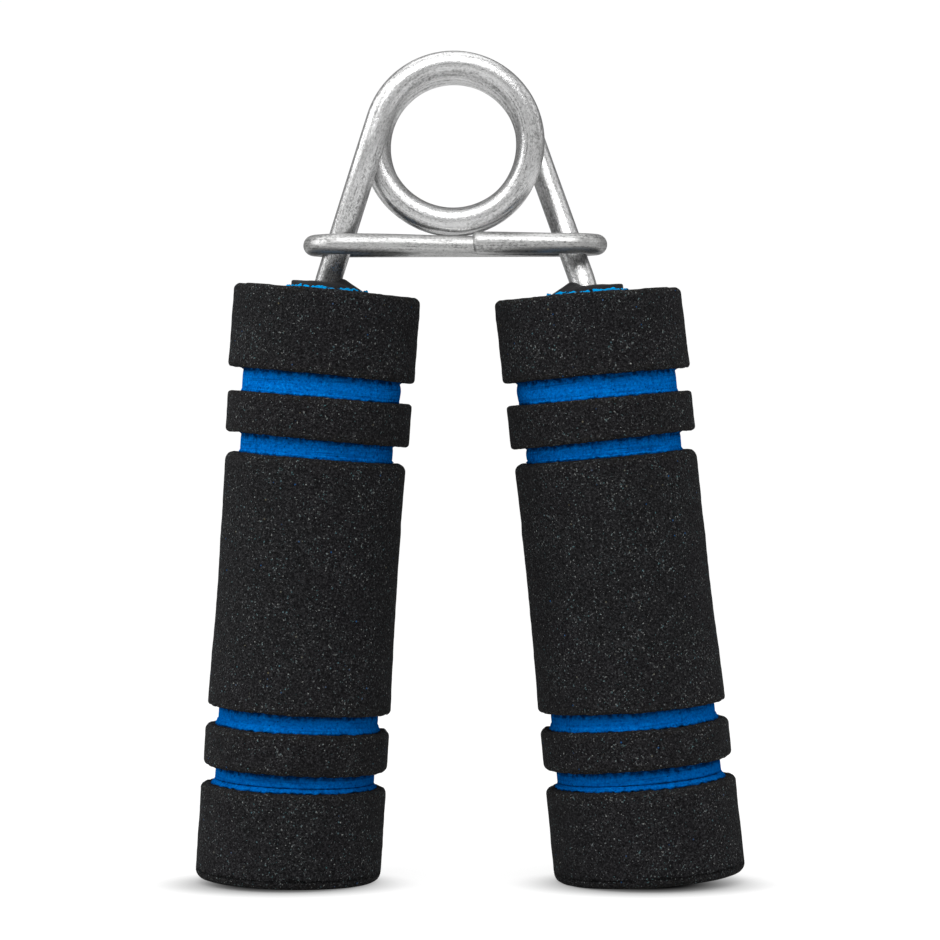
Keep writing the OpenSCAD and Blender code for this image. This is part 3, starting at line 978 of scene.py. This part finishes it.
def softbox(name, place, target, size, power):
    """A soft lamp at a place in metres, turned to its target."""
    data = bpy.data.lights.new(name, "AREA")
    data.shape = "RECTANGLE"
    data.size, data.size_y = size
    data.energy = power
    obj = bpy.data.objects.new(name, data)
    obj.location = place
    obj.rotation_euler = (Vector(target) - Vector(place)).to_track_quat("-Z", "Y").to_euler()
    bpy.context.scene.collection.objects.link(obj)


def world():
    """White behind the object, and a dim room that is a little brighter in front."""
    w = bpy.data.worlds.new("studio")
    bpy.context.scene.world = w
    w.use_nodes = True
    tree = w.node_tree
    background = tree.nodes["Background"]
    coordinates = tree.nodes.new("ShaderNodeTexCoord")
    axes = tree.nodes.new("ShaderNodeSeparateXYZ")
    front = tree.nodes.new("ShaderNodeMapRange")
    ramp = tree.nodes.new("ShaderNodeValToRGB")
    path = tree.nodes.new("ShaderNodeLightPath")
    mix = tree.nodes.new("ShaderNodeMix")
    mix.data_type = "RGBA"
    tree.links.new(coordinates.outputs["Generated"], axes.inputs[0])
    tree.links.new(axes.outputs["Y"], front.inputs["Value"])
    front.inputs["From Min"].default_value = -1.0
    front.inputs["From Max"].default_value = 1.0
    tree.links.new(front.outputs["Result"], ramp.inputs["Fac"])
    ramp.color_ramp.elements[0].position = 0.05
    ramp.color_ramp.elements[0].color = (0.44, 0.44, 0.44, 1)
    ramp.color_ramp.elements[1].position = 0.60
    ramp.color_ramp.elements[1].color = (0.20, 0.20, 0.20, 1)
    tree.links.new(path.outputs["Is Camera Ray"], mix.inputs[0])
    tree.links.new(ramp.outputs["Color"], mix.inputs[6])
    mix.inputs[7].default_value = (1.02, 1.02, 1.02, 1)
    tree.links.new(mix.outputs[2], background.inputs["Color"])
    background.inputs["Strength"].default_value = 1.0


# ---------------------------------------------------------------- the object

camera()
world()
softbox("key_left", (-1.0, -0.10, 0.60), (0, 0, 0.08), (0.7, 1.0), 7.2)
softbox("key_right", (1.0, 0.05, 0.60), (0, 0, 0.08), (0.7, 1.0), 1.7)
softbox("front_top", (0, -0.9, 0.95), (0, 0, 0.05), (1.5, 0.7), 13.0)
softbox("top", (0, 0.15, 1.2), (0, 0, 0.0), (1.2, 0.9), 5.0)

handles = [Handle("left"), Handle("right")]
floor(handles)
spring(handles)
retaining_link()
core = core_plastic()
for handle in handles:
    for number, band in enumerate(BANDS_UP):
        black_band(handle, band, 11 + 10 * number)
    blue_sleeve(handle, 3)
    top_plug(handle)
    bottom_plug(handle)
    tube = frame["nodes"][handle.side + "_core_tube"]
    for material_slot in tube.material_slots:
        material_slot.material = core

bpy.context.scene.view_settings.view_transform = "Standard"
bpy.context.scene.view_settings.look = "None"
bpy.context.scene.view_settings.exposure = 0.0
